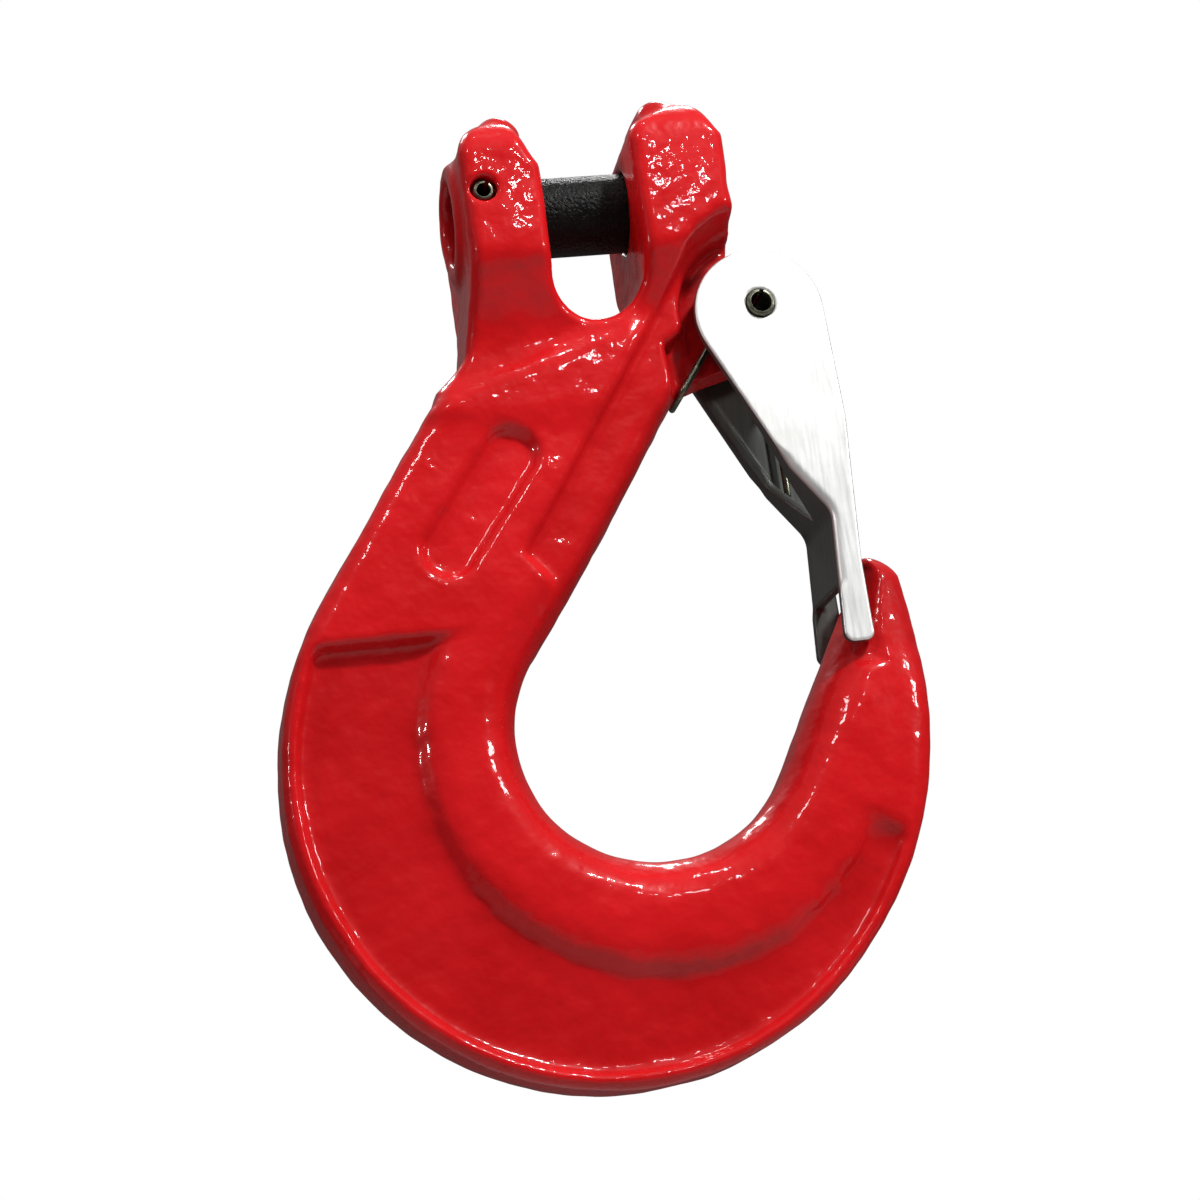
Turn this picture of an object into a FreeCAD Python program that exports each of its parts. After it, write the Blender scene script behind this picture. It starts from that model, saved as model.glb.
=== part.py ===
"""Clevis sling hook with a spring latch, for 13 mm chain. One STEP file per piece, in millimetres.

The load pin lies along X through the origin. The hook hangs below it in the XZ plane with +Z up,
and it is the same on its -Y front and its +Y back.
"""
import FreeCAD, Part
import math
import os

# Clevis and neck
PIN_RADIUS = 8.0
PIN_HOLE_CLEARANCE = 0.2
PIN_LEFT_X = -23.0
PIN_RIGHT_X = 26.5
PIN_CHAMFER = 1.2
GAP_HALF_WIDTH = 9.2
SADDLE_CENTRE_Z = -16.3
LEFT_EAR_OUTER_X = -25.1
RIGHT_EAR_OUTER_X = 28.4
EAR_HALF_DEPTH = 18.4
EAR_PAD_TOP_Z = 12.0
EAR_PAD_BOTTOM_Z = -12.0
EAR_ROOF = ((14.7, 15.2), (8.5, 19.0))
EAR_CREST_HALF_DEPTH = 5.5
LEFT_EAR_TOP_Z = 20.0
RIGHT_EAR_TOP_Z = 21.7
NECK_HALF_DEPTH = 10.0
NECK_EDGE_RADIUS = 2.5
NECK_BOTTOM_Z = -60.0
BOSS_RADIUS = 12.0
BOSS_FACE_X = -26.3

# Slotted spring pin that keeps the load pin in the left ear
RETAINING_PIN_X = -21.0
RETAINING_PIN_RADIUS = 2.2
RETAINING_PIN_HALF_LENGTH = 17.0

# Shank, bowl and tip
BODY_HALF_DEPTH = 12.0
SHANK_ANGLE = 55.0
RIM_WIDTH = 3.6
RECESS_FLOOR_HALF_DEPTH = 7.4
RECESS_TOP_Z = -87.0
RECESS_END_ANGLE = -31.0
BEAD_CENTRE = (-1.3, -109.0)
BEAD_RADIUS = 43.5
OUTER_EDGE_RADIUS = 3.0
RIDGE_LEFT = (-36.3, -41.23)
RIDGE_RIGHT = (10.5, -26.9)
TIP_TOP_HEADING = 112.0
THROAT_HEADING = 242.9
POCKET_ENDS = ((-21.9, -52.2), (-35.9, -70.0))
POCKET_RADIUS = 4.9
POCKET_FLOOR_HALF_DEPTH = 10.3

# Latch, its lug and its clearance on the hook
PIVOT = (32.0, -25.5)
LATCH_HALF_WIDTH = 11.5
LATCH_SHEET = 2.0
LATCH_HEAD_CENTRE = (31.6, -27.3)
LATCH_HEAD_RADIUS = 13.1
LATCH_WEB_TOP_Z = -32.0
LATCH_WEB_BOTTOM_Z = -84.0
LATCH_KINK = (32.6, -59.6)
LATCH_NOTCH = ((9.5, -32.0), (9.5, -44.0), (7.0, -58.0), (0.0, -68.0))
CLEARANCE_RADIUS = 16.7
CLEARANCE_HALF_DEPTH = 9.2
CLEARANCE_LENGTH = 66.0
CLEARANCE_WIDTH = 12.0
LUG_RADIUS = 10.5
LUG_HALF_DEPTH = 4.4
LUG_CLEARANCE_RADIUS = 15.0
TIP_SHELF_Z = -99.9
TIP_SHELF_TOP_Z = -70.0
TIP_SHELF_LEFT_X = 27.5
TIP_SHELF_RIGHT_X = 45.8
PIVOT_PIN_RADIUS = 2.8
PIVOT_PIN_HALF_LENGTH = 12.3
PIVOT_RUNNING_CLEARANCE = 0.1
SPRING_PIN_WALL = 0.8
SPRING_PIN_SLOT = 0.9
RETAINING_SLOT_ANGLE = 60
PIVOT_SLOT_ANGLE = 80

# Latch spring
WIRE_RADIUS = 0.7
COIL_RADIUS = 4.4
COIL_INNER_Y = 5.2
COIL_PITCH = 1.43
CROSSBAR = (14.6, -41.2)
SPRING_FOOT = (36.5, -60.3)

# Depths of cuts that run right out of the forging
BEYOND = 60.0


def point(x, z, y=0.0):
    """A point at x across, z up and y into the depth."""
    return FreeCAD.Vector(x, y, z)


def direction(degrees):
    """A unit vector in the XZ plane, turned up from +X."""
    return point(math.cos(math.radians(degrees)), math.sin(math.radians(degrees)))


def tangent_edge(start, heading, end):
    """The arc that leaves start along heading and meets end, or a line, with its last heading."""
    chord = end - start
    along = FreeCAD.Vector(chord).normalize()
    aside = heading - along * heading.dot(along)
    if aside.Length < 0.002:
        return Part.LineSegment(start, end).toShape(), along
    bulge = chord.Length / 2 * aside.Length / (1 + heading.dot(along))
    middle = start + chord * 0.5 + aside.normalize() * bulge
    return Part.Arc(start, middle, end).toShape(), along * (2 * heading.dot(along)) - heading


def smooth_path(start, heading, stops):
    """Edges that pass through the stops with no corner between them."""
    edges = []
    here = point(*start)
    for stop in stops:
        there = point(*stop)
        edge, heading = tangent_edge(here, heading, there)
        edges.append(edge)
        here = there
    return edges


def inset_path(edges, distance):
    """The same path moved to its left by a distance, arc by arc."""
    moved = []
    for edge in edges:
        ends = []
        first, last = edge.FirstParameter, edge.LastParameter
        for parameter in (first, (first + last) / 2, last):
            tangent = edge.tangentAt(parameter)
            ends.append(edge.valueAt(parameter) + FreeCAD.Vector(-tangent.z, 0, tangent.x) * distance)
        if edge.Curve.TypeId == "Part::GeomLine":
            moved.append(Part.LineSegment(ends[0], ends[2]).toShape())
        else:
            moved.append(Part.Arc(*ends).toShape())
    return moved


def lines(*corners):
    """Straight edges from corner to corner."""
    return [Part.LineSegment(point(*a), point(*b)).toShape() for a, b in zip(corners, corners[1:])]


def end_of(edges):
    """The x and z where a path ends."""
    last = edges[-1].valueAt(edges[-1].LastParameter)
    return last.x, last.z


def start_of(edges):
    """The x and z where a path starts."""
    first = edges[0].valueAt(edges[0].FirstParameter)
    return first.x, first.z


def plate(edges, low_y, high_y):
    """A closed outline in the XZ plane as a solid between two depths."""
    face = Part.Face(Part.Wire(Part.__sortEdges__(edges)))
    face.translate(FreeCAD.Vector(0, low_y, 0))
    return face.extrude(FreeCAD.Vector(0, high_y - low_y, 0))


def disc(centre, radius, low_y, high_y):
    """A cylinder along Y."""
    foot = point(centre[0], centre[1], low_y)
    return Part.makeCylinder(radius, high_y - low_y, foot, FreeCAD.Vector(0, 1, 0))


def both_sides(shape):
    """A shape and its mirror image on the other side of the hook."""
    return shape.fuse(shape.mirror(FreeCAD.Vector(0, 0, 0), FreeCAD.Vector(0, 1, 0)))


def outer_edges():
    """The outline from the neck, round the outside of the bowl, to the top of the tip."""
    return smooth_path(
        RIDGE_LEFT,
        direction(SHANK_ANGLE + 180),
        [(-60.35, -75.55), (-72.65, -112.8), (28.55, -159.2), (54.3, -101.0), (53.0, -82.0)],
    )


def inner_edges():
    """The outline from the top of the tip, round the inside of the bowl, up to the neck."""
    tip_top = end_of(outer_edges())
    nose = smooth_path(tip_top, direction(TIP_TOP_HEADING), [(48.6, -76.7), (44.5, -79.6)])
    bowl = smooth_path(
        end_of(nose),
        direction(THROAT_HEADING),
        [(24.0, -118.0), (-13.7, -129.2), (-26.9, -108.5), (-21.2, -90.6), (14.5, -39.6)],
    )
    return nose + bowl


def hook_blade():
    """Shank, bowl and tip as one slab with rounded edges."""
    outer = outer_edges()
    inner = inner_edges()
    ridge = lines(end_of(inner), RIDGE_RIGHT, RIDGE_LEFT)
    slab = plate(outer + inner + ridge, -BODY_HALF_DEPTH, BODY_HALF_DEPTH)
    bowl_edges = []
    for edge in slab.Edges:
        middle = edge.valueAt((edge.FirstParameter + edge.LastParameter) / 2)
        level = abs(abs(middle.y) - BODY_HALF_DEPTH) < 0.01
        below = Part.Vertex(middle.x, 0, middle.z)
        if level and any(side.distToShape(below)[0] < 0.01 for side in outer[:4]):
            bowl_edges.append(edge)
    return slab.makeFillet(OUTER_EDGE_RADIUS, bowl_edges)


def bowl_recess():
    """The sunk floor between the bead round the bowl and the outer rim, on the front."""
    rim = inset_path(outer_edges(), RIM_WIDTH)
    left_top = start_of(rim)
    right_end = end_of(rim)
    edges = rim + lines(right_end, (0.0, -60.0), left_top)
    floor = plate(edges, -BEYOND, -RECESS_FLOOR_HALF_DEPTH)
    above = Part.makeBox(4 * BEYOND, BEYOND, 2 * BEYOND, point(-2 * BEYOND, RECESS_TOP_Z, -BEYOND))
    beyond_end = Part.makeBox(2 * BEYOND, BEYOND, 2 * BEYOND, FreeCAD.Vector(0, -BEYOND, 0))
    beyond_end.rotate(FreeCAD.Vector(0, 0, 0), FreeCAD.Vector(0, -1, 0), RECESS_END_ANGLE)
    beyond_end.translate(point(*BEAD_CENTRE))
    bead = disc(BEAD_CENTRE, BEAD_RADIUS, -BEYOND, 0)
    return floor.cut(above).cut(beyond_end).cut(bead)


def shank_pocket():
    """The long shallow pocket on the shank's front."""
    low, high = -BEYOND, -POCKET_FLOOR_HALF_DEPTH
    ends = [disc(centre, POCKET_RADIUS, low, high) for centre in POCKET_ENDS]
    run = point(*POCKET_ENDS[1]) - point(*POCKET_ENDS[0])
    side = FreeCAD.Vector(run.z, 0, -run.x).normalize() * POCKET_RADIUS
    corners = [point(*POCKET_ENDS[0]) + side, point(*POCKET_ENDS[1]) + side]
    corners += [point(*POCKET_ENDS[1]) - side, point(*POCKET_ENDS[0]) - side]
    middle = plate(lines(*[(c.x, c.z) for c in corners + corners[:1]]), low, high)
    return middle.fuse(ends).removeSplitter()


def clevis():
    """Both ears and the neck: the front outline crossed with the side outline."""
    outer = RIGHT_EAR_OUTER_X
    gap = GAP_HALF_WIDTH
    left = lines((-36.3, -44.0), RIDGE_LEFT, (-28.6, -32.0), (-26.2, -24.0), (LEFT_EAR_OUTER_X, -12.0))
    left += smooth_path(end_of(left), direction(90), [(LEFT_EAR_OUTER_X, 7.0), (-20.8, 15.6)])
    left += smooth_path(end_of(left), direction(40), [(-14.9, LEFT_EAR_TOP_Z)])
    left += smooth_path(end_of(left), direction(0), [(-10.6, 15.4), (-gap, 9.0)])
    saddle = smooth_path(
        end_of(left), direction(270), [(-gap, SADDLE_CENTRE_Z), (gap, SADDLE_CENTRE_Z), (gap, 9.0)]
    )
    right = smooth_path(end_of(saddle), direction(90), [(12.4, 16.2)])
    right += smooth_path(end_of(right), direction(45), [(18.8, RIGHT_EAR_TOP_Z)])
    right += smooth_path(end_of(right), direction(0), [(25.8, 17.6), (outer, 9.0)])
    right += smooth_path(end_of(right), direction(270), [(outer, -3.0), (27.6, -14.0)])
    closing = lines(end_of(right), (18.5, -30.0), (12.5, -38.0), (-1.5, -52.0), (-36.3, -44.0))
    front = plate(left + saddle + right + closing, -BEYOND, BEYOND)
    profile = [
        FreeCAD.Vector(0, y, z)
        for y, z in (
            (NECK_HALF_DEPTH, NECK_BOTTOM_Z),
            (NECK_HALF_DEPTH, -27.0),
            (EAR_HALF_DEPTH, EAR_PAD_BOTTOM_Z),
            (EAR_HALF_DEPTH, EAR_PAD_TOP_Z),
            *EAR_ROOF,
            (EAR_CREST_HALF_DEPTH, RIGHT_EAR_TOP_Z),
        )
    ]
    mirrored = [FreeCAD.Vector(0, -corner.y, corner.z) for corner in reversed(profile)]
    side = Part.Face(Part.makePolygon(profile + mirrored + profile[:1]))
    side.translate(FreeCAD.Vector(-BEYOND, 0, 0))
    body = side.extrude(FreeCAD.Vector(2 * BEYOND, 0, 0))
    long_edges = [edge for edge in body.Edges if abs(edge.tangentAt(edge.FirstParameter).x) > 0.99]
    above_bottom = [edge for edge in long_edges if edge.CenterOfMass.z > NECK_BOTTOM_Z + 1]
    body = body.makeFillet(NECK_EDGE_RADIUS, above_bottom)
    return front.common(body)


def latch_lug():
    """The thin lug that the latch's plates straddle."""
    lug = disc(PIVOT, LUG_RADIUS, -LUG_HALF_DEPTH, LUG_HALF_DEPTH)
    root_path = lines(
        (14.5, -39.6), (28.7, -35.4), PIVOT, (29.0, -15.4), (24.0, -8.0), (12.0, -28.0), (2.5, -45.0),
        (14.5, -39.6),
    )
    root = plate(root_path, -LUG_HALF_DEPTH, LUG_HALF_DEPTH)
    return lug.fuse(root)


def latch_clearance():
    """What is cut from the hook's front so that the latch's plate can swing along the shank."""
    low, high = -BEYOND, -CLEARANCE_HALF_DEPTH
    pivot = point(*PIVOT)
    shank = direction(SHANK_ANGLE + 180)
    across = direction(SHANK_ANGLE - 90)
    corners = [
        pivot - across * CLEARANCE_RADIUS,
        pivot - across * CLEARANCE_RADIUS + shank * CLEARANCE_LENGTH,
        pivot - across * (CLEARANCE_RADIUS - CLEARANCE_WIDTH) + shank * CLEARANCE_LENGTH,
        pivot - across * (CLEARANCE_RADIUS - CLEARANCE_WIDTH),
    ]
    strip = plate(lines(*[(c.x, c.z) for c in corners + corners[:1]]), low, high)
    head = disc(PIVOT, CLEARANCE_RADIUS, low, high)
    lug_low, lug_high = -BEYOND, -LUG_HALF_DEPTH
    lug_sides = disc(PIVOT, LUG_CLEARANCE_RADIUS, lug_low, lug_high)
    spring_path = plate(
        lines((26.5, -12.0), (16.0, -30.0), (12.8, -32.0), (13.6, -46.0), (32.5, -40.0), (26.5, -12.0)),
        lug_low,
        lug_high,
    )
    return strip.fuse([head, lug_sides, spring_path])


def tip_shelf():
    """The sunk flat on the tip's front where the latch's leg lies."""
    low, high = -BEYOND, -CLEARANCE_HALF_DEPTH
    width = TIP_SHELF_RIGHT_X - TIP_SHELF_LEFT_X
    return Part.makeBox(
        width, high - low, TIP_SHELF_TOP_Z - TIP_SHELF_Z, point(TIP_SHELF_LEFT_X, TIP_SHELF_Z, low)
    )


def along_x(radius, low_x, high_x):
    """A cylinder on the load pin's axis."""
    return Part.makeCylinder(
        radius, high_x - low_x, FreeCAD.Vector(low_x, 0, 0), FreeCAD.Vector(1, 0, 0)
    )


def hook_body():
    """The forging."""
    body = hook_blade().fuse(clevis()).cut(both_sides(bowl_recess())).cut(both_sides(shank_pocket()))
    upper = both_sides(latch_clearance())
    tip = both_sides(tip_shelf())
    body = body.cut(upper).cut(tip).fuse(latch_lug())
    body = body.fuse(along_x(BOSS_RADIUS, BOSS_FACE_X, LEFT_EAR_OUTER_X + 1))
    load_hole = along_x(PIN_RADIUS + PIN_HOLE_CLEARANCE, -BEYOND, BEYOND)
    retaining_hole = disc((RETAINING_PIN_X, 0), RETAINING_PIN_RADIUS, -BEYOND, BEYOND)
    pivot_hole = disc(PIVOT, PIVOT_PIN_RADIUS, -BEYOND, BEYOND)
    return body.cut([load_hole, retaining_hole, pivot_hole]).removeSplitter()


def load_pin():
    """The pin that the chain hangs from, drilled across for its retaining pin."""
    pin = along_x(PIN_RADIUS, PIN_LEFT_X, PIN_RIGHT_X)
    rims = [edge for edge in pin.Edges if edge.Curve.TypeId == "Part::GeomCircle"]
    pin = pin.makeChamfer(PIN_CHAMFER, rims)
    return pin.cut(disc((RETAINING_PIN_X, 0), RETAINING_PIN_RADIUS, -BEYOND, BEYOND))


def spring_pin(centre, radius, half_length, slot_angle):
    """A slotted tube along Y."""
    tube = disc(centre, radius, -half_length, half_length)
    bore = disc(centre, radius - SPRING_PIN_WALL, -half_length, half_length)
    slot = Part.makeBox(
        2 * radius, 2 * half_length, SPRING_PIN_SLOT, FreeCAD.Vector(0, -half_length, -SPRING_PIN_SLOT / 2)
    )
    slot.rotate(FreeCAD.Vector(0, 0, 0), FreeCAD.Vector(0, -1, 0), slot_angle)
    slot.translate(point(*centre))
    return tube.cut([bore, slot])


def latch_outline():
    """The front view of the latch: head, tapering plate and leg."""
    head = LATCH_HEAD_CENTRE
    radius = LATCH_HEAD_RADIUS
    left = point(*head) + direction(205) * radius
    right = point(*head) + direction(4) * radius
    edges = [Part.Arc(right, point(head[0], head[1] + radius), left).toShape()]
    edges += lines((left.x, left.z), LATCH_KINK, (38.1, -67.2))
    edges += smooth_path(end_of(edges), direction(-52), [(39.3, -71.5)])
    edges += lines(end_of(edges), (38.0, -93.4))
    edges += smooth_path(end_of(edges), direction(266), [(39.7, -95.6)])
    edges += lines(end_of(edges), (42.2, -95.6))
    edges += smooth_path(end_of(edges), direction(0), [(43.9, -93.6)])
    edges += lines(end_of(edges), (43.8, -79.4), (45.5, -50.0), (right.x, right.z))
    return edges


def latch():
    """Folded sheet: a plate each side of the lug, joined by a web on the throat side."""
    block = plate(latch_outline(), -LATCH_HALF_WIDTH, LATCH_HALF_WIDTH)
    inner_y = LATCH_HALF_WIDTH - LATCH_SHEET
    web_inner = [(21.6, LATCH_WEB_TOP_Z), (34.7, -59.0), (39.8, -66.2), (41.3, -71.4)]
    web_inner += [(40.6, LATCH_WEB_BOTTOM_Z)]
    room = plate(
        lines(
            (0.0, 0.0), (0.0, LATCH_WEB_TOP_Z), *web_inner, (0.0, LATCH_WEB_BOTTOM_Z),
            (0.0, -110.0), (BEYOND, -110.0), (BEYOND, 0.0), (0.0, 0.0),
        ),
        -inner_y,
        inner_y,
    )
    right_half = [FreeCAD.Vector(0, y, z) for y, z in LATCH_NOTCH]
    left_half = [FreeCAD.Vector(0, -y, z) for y, z in reversed(LATCH_NOTCH[:-1])]
    notch = Part.Face(Part.makePolygon(right_half + left_half + right_half[:1]))
    notch = notch.extrude(FreeCAD.Vector(BEYOND, 0, 0))
    hole = disc(PIVOT, PIVOT_PIN_RADIUS + PIVOT_RUNNING_CLEARANCE, -BEYOND, BEYOND)
    return block.cut([room, notch, hole])


def rod(start, end):
    """A straight stretch of spring wire with round ends."""
    along = end - start
    ball = [Part.makeSphere(WIRE_RADIUS, place) for place in (start, end)]
    return Part.makeCylinder(WIRE_RADIUS, along.Length, start, along).fuse(ball)


def tangent_from(target, turn):
    """The angle on the coil where a straight wire to a target leaves it."""
    reach = point(*target) - point(*PIVOT)
    bearing = math.degrees(math.atan2(reach.z, reach.x))
    return bearing + turn * math.degrees(math.acos(COIL_RADIUS / reach.Length))


def coil(start_angle, turns):
    """Wire wound clockwise round the pivot pin, from the lug out to the latch's plate."""
    helix = Part.makeHelix(COIL_PITCH, COIL_PITCH * turns, COIL_RADIUS)
    start = FreeCAD.Vector(COIL_RADIUS, 0, 0)
    section = Part.Wire(Part.makeCircle(WIRE_RADIUS, start, FreeCAD.Vector(0, 1, 0)))
    wire = helix.makePipeShell([section], True, True)
    wire.rotate(FreeCAD.Vector(0, 0, 0), FreeCAD.Vector(1, 0, 0), -90)
    wire.rotate(FreeCAD.Vector(0, 0, 0), FreeCAD.Vector(0, 1, 0), -start_angle)
    wire.translate(point(PIVOT[0], PIVOT[1], COIL_INNER_Y))
    return wire


def latch_spring():
    """A double torsion spring: two coils, a crossbar under the neck and two feet on the latch's web."""
    leg_angle = tangent_from(CROSSBAR, -1)
    foot_angle = tangent_from(SPRING_FOOT, 1)
    turns = 1 + (leg_angle - foot_angle) % 360 / 360
    outer_y = COIL_INNER_Y + COIL_PITCH * turns
    leave = point(*PIVOT) + direction(leg_angle) * COIL_RADIUS
    arrive = point(*PIVOT) + direction(foot_angle) * COIL_RADIUS
    depth = FreeCAD.Vector(0, 1, 0)
    half = coil(leg_angle, turns)
    half = half.fuse(
        [
            rod(leave + depth * COIL_INNER_Y, point(*CROSSBAR) + depth * COIL_INNER_Y),
            rod(arrive + depth * outer_y, point(*SPRING_FOOT) + depth * outer_y),
        ]
    )
    crossbar = rod(point(*CROSSBAR) - depth * COIL_INNER_Y, point(*CROSSBAR) + depth * COIL_INNER_Y)
    return both_sides(half).fuse(crossbar)


def main():
    """Write every piece."""
    os.makedirs("parts", exist_ok=True)
    pieces = {
        "hook_body": hook_body(),
        "load_pin": load_pin(),
        "load_pin_retaining_pin": spring_pin(
            (RETAINING_PIN_X, 0), RETAINING_PIN_RADIUS, RETAINING_PIN_HALF_LENGTH,
            RETAINING_SLOT_ANGLE,
        ),
        "latch": latch(),
        "latch_pivot_pin": spring_pin(
            PIVOT, PIVOT_PIN_RADIUS, PIVOT_PIN_HALF_LENGTH, PIVOT_SLOT_ANGLE
        ),
        "latch_spring": latch_spring(),
    }
    for name, shape in pieces.items():
        shape.exportStep(f"parts/{name}.step")
        box = shape.BoundBox
        print(name, len(shape.Solids), shape.isValid(), round(shape.Volume, 1))
        print("  ", [round(v, 2) for v in (box.XMin, box.YMin, box.ZMin, box.XMax, box.YMax, box.ZMax)])


main()
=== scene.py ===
"""The looks of a clevis sling hook: a painted forging, a sheet latch, its spring and three pins.

Shapes are worked out in millimetres in the frame of the CAD part: the load pin lies along X through the
origin, +Z is up and the front faces -Y. They turn into metres when their meshes are made.
"""
import bpy
import math
import numpy as np
from mathutils import Matrix, Vector


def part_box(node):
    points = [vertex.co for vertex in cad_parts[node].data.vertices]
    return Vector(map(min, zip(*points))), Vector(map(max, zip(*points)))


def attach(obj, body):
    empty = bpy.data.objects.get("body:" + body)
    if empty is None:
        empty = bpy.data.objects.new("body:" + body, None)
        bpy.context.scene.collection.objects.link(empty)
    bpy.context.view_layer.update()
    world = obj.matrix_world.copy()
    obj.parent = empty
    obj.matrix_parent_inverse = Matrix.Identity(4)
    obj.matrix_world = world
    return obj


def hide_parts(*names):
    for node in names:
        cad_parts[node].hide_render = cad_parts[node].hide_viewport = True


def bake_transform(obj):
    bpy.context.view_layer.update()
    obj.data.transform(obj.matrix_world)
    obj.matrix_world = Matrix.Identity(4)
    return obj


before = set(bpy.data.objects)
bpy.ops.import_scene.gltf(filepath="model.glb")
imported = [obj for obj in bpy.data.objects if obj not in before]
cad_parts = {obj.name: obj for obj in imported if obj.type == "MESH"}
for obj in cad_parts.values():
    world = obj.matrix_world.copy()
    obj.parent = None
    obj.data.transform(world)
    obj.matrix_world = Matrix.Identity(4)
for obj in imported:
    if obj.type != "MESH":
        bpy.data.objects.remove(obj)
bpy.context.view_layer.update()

MM = 0.001
NOISE_SEED = 7

# Forging: outlines and headings
SHANK_ANGLE = 55.0
SHANK_TOP = (-33.9, -37.8)
TIP_HEADING = 102.0
THROAT_HEADING = 242.9
PIVOT = (32.0, -25.5)
LEFT_EAR_X = -25.1
RIGHT_EAR_X = 28.4
GAP_HALF_WIDTH = 9.2
SADDLE_Z = -16.3

# Forging: the bowl, its rim, its sunk floor and the bead round the throat
BODY_HALF_DEPTH = 12.0
OUTER_EDGE_RADIUS = 3.4
INNER_EDGE_RADIUS = 7.5
RIM_HALF_DEPTH = 11.0
RIM_WIDTH = 4.3
FLOOR_HALF_DEPTH = 7.4
BEAD_CENTRE = (-1.3, -109.0)
BEAD_FOOT_RADIUS = 45.2
BEAD_CREST_RADIUS = 36.5
BEAD_CROWN = 1.3
RECESS_TOP_Z = -88.0
RECESS_END_ANGLE = -31.0
DRAFT_OUTER = 0.7
DRAFT_INNER = 2.0
TIP_DROP = 0.8
TIP_TAPER = 0.10
TIP_THINNING = 1.8
RIM_WALL = (28, 1.5)  # a wall's slope in degrees and the fillet at its foot
LIP_WALL = (24, 1.6)
RECESS_END_WALL = (45, 2.0)

# Forging: where a feature starts to show and where it is complete
RIM_FADE_Z = (-84.0, -98.0)
CROWN_FADE_Z = (-70.0, -90.0)
TIP_FADE_X = (30.0, 44.0)
TIP_FADE_Z = (-132.0, -88.0)
THINNING_FADE_X = (20.0, 40.0)
THINNING_FADE_Z = (-112.0, -82.0)
RIGHT_ROOF_FADE_X = (0.0, 8.0)

# Forging: the ridge under the neck, the neck and the ears
RIDGE_START = (-28.1, -38.7)
RIDGE_ANGLE = 17.0
RIDGE_EDGE_RADIUS = 2.2
NECK_HALF_DEPTH = 10.0
EAR_HALF_DEPTH = 18.0
EAR_PAD_FOOT_Z = -26.5
EAR_PAD_RISE = 13.0
EAR_ROOF_AXIS = (-6.1, -13.6)
EAR_ROOF_RADIUS = 34.8
RIGHT_ROOF_RISE = 1.3
EAR_EDGE_RADIUS = 2.4
EAR_NOSES = (((-14.9, 15.3), 4.6), ((18.4, 16.5), 5.0), ((25.0, 14.0), 3.9))
EAR_NOSE_HALF_DEPTH = 8.5
BOSS_X = -23.0
BOSS_HALF_WIDTH = 3.3
BOSS_RADIUS = 12.0

# Forging: reliefs for the latch and its spring, the lug, the pocket and the tip's shelf
CLEARANCE_HALF_DEPTH = 9.2
CLEARANCE_RADIUS = 16.7
CLEARANCE_LENGTH = 68.5
CLEARANCE_END_TILT = 0.33
CLEARANCE_SIDE = -3.0
CLEARANCE_WALL = (14, 1.6)
LUG_HALF_DEPTH = 4.4
LUG_RADIUS = 10.5
LUG_EDGE_RADIUS = 0.8
LUG_CLEARANCE_RADIUS = 15.0
LUG_CLEARANCE_WALL = (12, 1.2)
POCKET_ENDS = ((-21.9, -52.2), (-35.9, -70.0))
POCKET_RADIUS = 4.2
POCKET_HALF_DEPTH = 9.9
POCKET_WALL = (42, 0.7)
SHELF_LEFT_X = 24.0
SHELF_RIGHT_X = 45.0
SHELF_BOTTOM_Z = -99.3
SHELF_TOP_Z = -70.0
SHELF_WALL = (22, 1.6)

# Forging: width of the fillet where each part joins or cuts the body
FILLETS = {
    "recess": 1.3, "pocket": 0.8, "clevis": 5.5, "clearance": 1.7, "spring": 1.4, "shelf": 1.4,
    "lug": 1.8, "boss": 2.0, "pin_hole": 1.4, "retaining_hole": 0.8, "pivot_hole": 0.6,
}

# Forging: unevenness, as (height, wavelength, number of waves)
UNEVENNESS = ((0.08, 15.0, 14), (0.04, 5.0, 18))

# Pins
PIN_RADIUS = 8.0
PIN_HOLE_RADIUS = 8.2
PIN_LEFT_X = -23.0
PIN_RIGHT_X = 26.5
PIN_END_PROFILE = (
    (0.9, 0.3), (0.8, 0.9), (0.05, 1.7), (0.0, 2.1), (0.0, 6.0),
    (0.08, 6.5), (0.35, 6.95), (1.2, 7.8), (1.5, 7.96), (1.9, PIN_RADIUS),
)
RETAINING_PIN_X = -21.0
RETAINING_PIN_RADIUS = 2.2
RETAINING_PIN_HALF_LENGTH = 17.0
RETAINING_PIN_GAP = 0.08
RETAINING_MOUTH_WIDENING = 0.45
RETAINING_MOUTH_FADE = (14.8, 15.4)
PIVOT_PIN_RADIUS = 2.8
PIVOT_PIN_HALF_LENGTH = 12.3
SPRING_PIN_WALL = 0.8
SPRING_PIN_SLOT = 0.9
SPRING_PIN_END_PROFILE = ((0.0, 0.35), (0.12, 0.16), (0.5, 0.0))

# Latch
LATCH_HALF_WIDTH = 11.5
LATCH_SHEET = 2.0
LATCH_HEAD_CENTRE = (31.6, -27.3)
LATCH_HEAD_RADIUS = 13.1
LATCH_HOLE_GAP = 0.15
LATCH_EDGE_RADIUS = 0.35
LATCH_FOLD_RADIUS = 1.75
LATCH_INNER_RADIUS = 0.7
WEB_FADE_TOP_Z = (-54.0, -58.0)
WEB_FADE_BOTTOM_Z = (-86.0, -83.0)
WEB_FADE_X = (43.0, 40.0)
LATCH_WEB_BOTTOM_Z = -84.0
LATCH_KINK = (32.6, -59.6)
LATCH_NOTCH = ((9.5, -44.0), (7.0, -58.0), (0.0, -68.0))

# Latch spring
WIRE_RADIUS = 0.7
COIL_RADIUS = 4.4
COIL_INNER_Y = 5.2
COIL_PITCH = 1.43
CROSSBAR = (14.6, -41.2)
CROSSBAR_BEND = 1.6
SPRING_FOOT = (36.5, -60.3)
WIRE_END_PROFILE = ((0.95, 0.3), (0.8, 0.6), (0.45, 0.89))

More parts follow.
